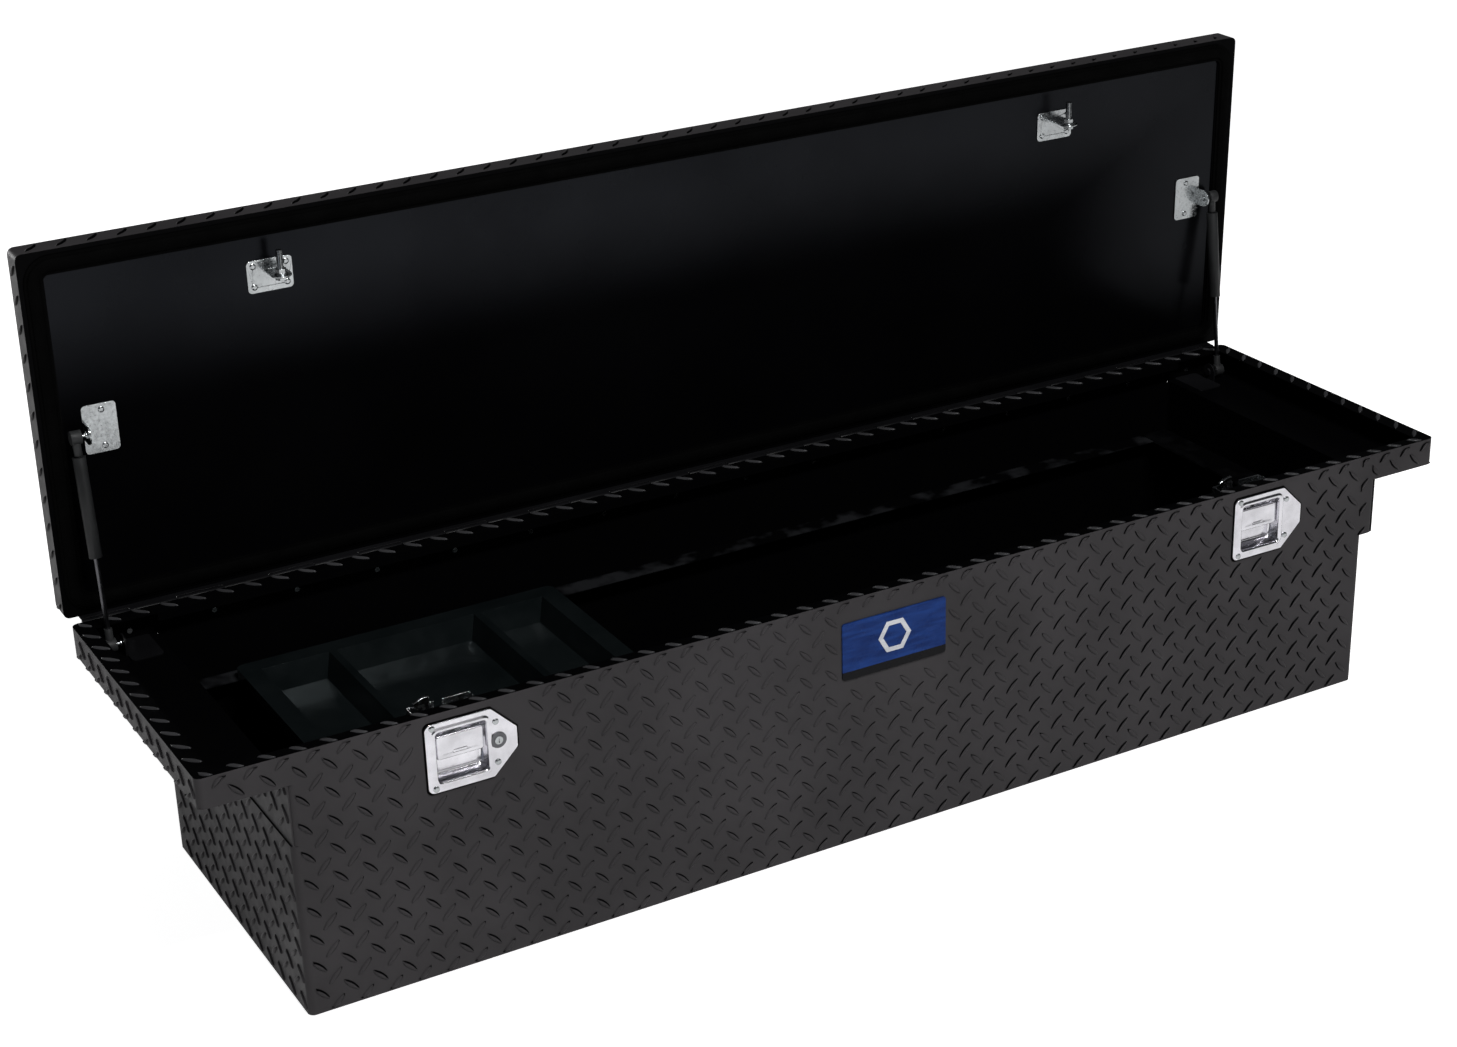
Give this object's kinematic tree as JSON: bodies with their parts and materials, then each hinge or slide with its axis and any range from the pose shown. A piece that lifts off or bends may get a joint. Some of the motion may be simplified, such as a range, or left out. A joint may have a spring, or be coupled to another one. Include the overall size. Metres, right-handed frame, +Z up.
{
  "type": "crossover truck tool box",
  "caption": "Low-profile tread-plate truck tool box with wings, one hinged foam-filled lid, gas struts, paddle latches and a sliding tray.",
  "frame": {"origin": "underside of the tub, midway between the wing ends and between the front and back sheets", "axes": "+X along the box to the right as seen from the latch side, -Y towards the latch side, +Z up"},
  "size_m": [1.776, 0.5024, 0.804],
  "materials": {
    "tread_sheet": "black powder coat over embossed tread plate, satin",
    "black_steel": "black paint, satin",
    "stainless": "polished stainless steel",
    "zinc_steel": "zinc plated steel",
    "aluminium_rod": "drawn aluminium rod",
    "seal_rubber": "black bulb rubber",
    "badge_blue": "gloss blue enamel",
    "badge_white": "gloss white enamel",
    "socket_plastic": "moulded nylon",
    "smoky_plastic": "dark smoky moulded plastic, glossy",
    "foam": "closed-cell foam",
    "gloss_panel": "smooth black sheet, glossy"
  },
  "bodies": {
    "tub": {"front_panel": "tread_sheet", "back_panel": "tread_sheet", "lower_tub": "tread_sheet", "left_tub_end": "tread_sheet", "right_tub_end": "tread_sheet", "left_wing": "tread_sheet", "right_wing": "tread_sheet", "hinge_tub_leaf": "black_steel", "hinge_pin": "zinc_steel", "hinge_tub_rivets": "zinc_steel", "badge_plate": "badge_blue", "badge_emblem": "badge_white", "left_latch_plate": "stainless", "right_latch_plate": "stainless", "left_latch_gasket": "seal_rubber", "right_latch_gasket": "seal_rubber", "left_latch_housing": "zinc_steel", "right_latch_housing": "zinc_steel", "latch_rivets": "zinc_steel", "latch_posts": "zinc_steel", "paddle_pins": "zinc_steel", "paddle_springs": "zinc_steel", "lock_body": "zinc_steel", "lock_nut": "zinc_steel", "left_strut_foot": "black_steel", "right_strut_foot": "black_steel"},
    "lid": {"lid_skin": "tread_sheet", "lid_foam": "foam", "lid_inner_panel": "gloss_panel", "lid_seal": "seal_rubber", "hinge_lid_leaf": "black_steel", "hinge_lid_rivets": "zinc_steel", "left_striker_bracket": "zinc_steel", "right_striker_bracket": "zinc_steel", "striker_bolts": "zinc_steel", "striker_nuts": "zinc_steel", "left_strut_head": "zinc_steel", "right_strut_head": "zinc_steel", "head_balls": "zinc_steel", "lid_bracket_rivets": "zinc_steel"},
    "left_strut_tube": {"left_strut_tube": "black_steel", "left_tube_socket": "socket_plastic"},
    "right_strut_tube": {"right_strut_tube": "black_steel", "right_tube_socket": "socket_plastic"},
    "left_strut_rod": {"left_strut_rod": "zinc_steel", "left_rod_socket": "socket_plastic", "left_foot_ball": "zinc_steel"},
    "right_strut_rod": {"right_strut_rod": "zinc_steel", "right_rod_socket": "socket_plastic", "right_foot_ball": "zinc_steel"},
    "left_paddle": {"left_paddle": "stainless"},
    "right_paddle": {"right_paddle": "stainless"},
    "left_rotor": {"left_rotor": "zinc_steel"},
    "right_rotor": {"right_rotor": "zinc_steel"},
    "left_pawl": {"left_pawl": "zinc_steel"},
    "right_pawl": {"right_pawl": "zinc_steel"},
    "release_rod": {"release_rod": "aluminium_rod"},
    "lock_plug": {"lock_plug": "zinc_steel", "lock_cam": "zinc_steel"},
    "tray": {"tray": "smoky_plastic"}
  },
  "joints": [
    {"name": "lid_hinge", "type": "hinge", "parent": "tub", "child": "lid", "pos_m": [0, 0.2293, 0.335], "axis": [1, 0, 0], "range_deg": [0, 89]},
    {"name": "left_strut_swing", "type": "hinge", "parent": "lid", "child": "left_strut_tube", "pos_m": [-0.849, 0.22311, 0.57493], "axis": [1, 0, 0], "range_deg": [0, 2.95]},
    {"name": "left_strut_stroke", "type": "slide", "parent": "left_strut_tube", "child": "left_strut_rod", "axis": [0, 0.1226, 0.9925], "range_m": [0, 0.0595]},
    {"name": "right_strut_swing", "type": "hinge", "parent": "lid", "child": "right_strut_tube", "pos_m": [0.849, 0.22311, 0.57493], "axis": [1, 0, 0], "range_deg": [0, 2.95]},
    {"name": "right_strut_stroke", "type": "slide", "parent": "right_strut_tube", "child": "right_strut_rod", "axis": [0, 0.1226, 0.9925], "range_m": [0, 0.0595]},
    {"name": "left_rotor_turn", "type": "hinge", "parent": "tub", "child": "left_rotor", "pos_m": [-0.598, -0.186, 0.312], "axis": [0, 1, 0], "range_deg": [0, 40]},
    {"name": "left_paddle_pull", "type": "hinge", "parent": "tub", "child": "left_paddle", "pos_m": [-0.576, -0.218, 0.304], "axis": [-1, 0, 0], "range_deg": [0, 30]},
    {"name": "left_pawl_release", "type": "hinge", "parent": "tub", "child": "left_pawl", "pos_m": [-0.558, -0.186, 0.292], "axis": [0, -1, 0], "range_deg": [0, 25.6]},
    {"name": "right_rotor_turn", "type": "hinge", "parent": "tub", "child": "right_rotor", "pos_m": [0.56, -0.186, 0.312], "axis": [0, 1, 0], "range_deg": [0, 40]},
    {"name": "right_paddle_pull", "type": "hinge", "parent": "tub", "child": "right_paddle", "pos_m": [0.582, -0.218, 0.304], "axis": [-1, 0, 0], "range_deg": [0, 30]},
    {"name": "right_pawl_release", "type": "hinge", "parent": "tub", "child": "right_pawl", "pos_m": [0.6, -0.186, 0.292], "axis": [0, -1, 0], "range_deg": [0, 25.6]},
    {"name": "release_rod_slide", "type": "slide", "parent": "tub", "child": "release_rod", "axis": [1, 0, 0], "range_m": [0, 0.00678]},
    {"name": "lock_turn", "type": "hinge", "parent": "tub", "child": "lock_plug", "pos_m": [-0.531, -0.225, 0.285], "axis": [0, -1, 0], "range_deg": [0, 90]},
    {"name": "tray_slide", "type": "slide", "parent": "tub", "child": "tray", "axis": [1, 0, 0], "range_m": [-0.062, 0.99]}
  ],
  "couplings": [
    {"joint": "left_strut_swing", "follows": "lid_hinge", "ratio": 0.033068},
    {"joint": "left_strut_stroke", "follows": "lid_hinge", "m_per_rad": 0.038242},
    {"joint": "right_strut_swing", "follows": "lid_hinge", "ratio": 0.033068},
    {"joint": "right_strut_stroke", "follows": "lid_hinge", "m_per_rad": 0.038242},
    {"joint": "left_pawl_release", "follows": "left_paddle_pull", "ratio": 0.85},
    {"joint": "right_pawl_release", "follows": "left_paddle_pull", "ratio": 0.85},
    {"joint": "release_rod_slide", "follows": "left_paddle_pull", "m_per_rad": 0.012753}
  ]
}
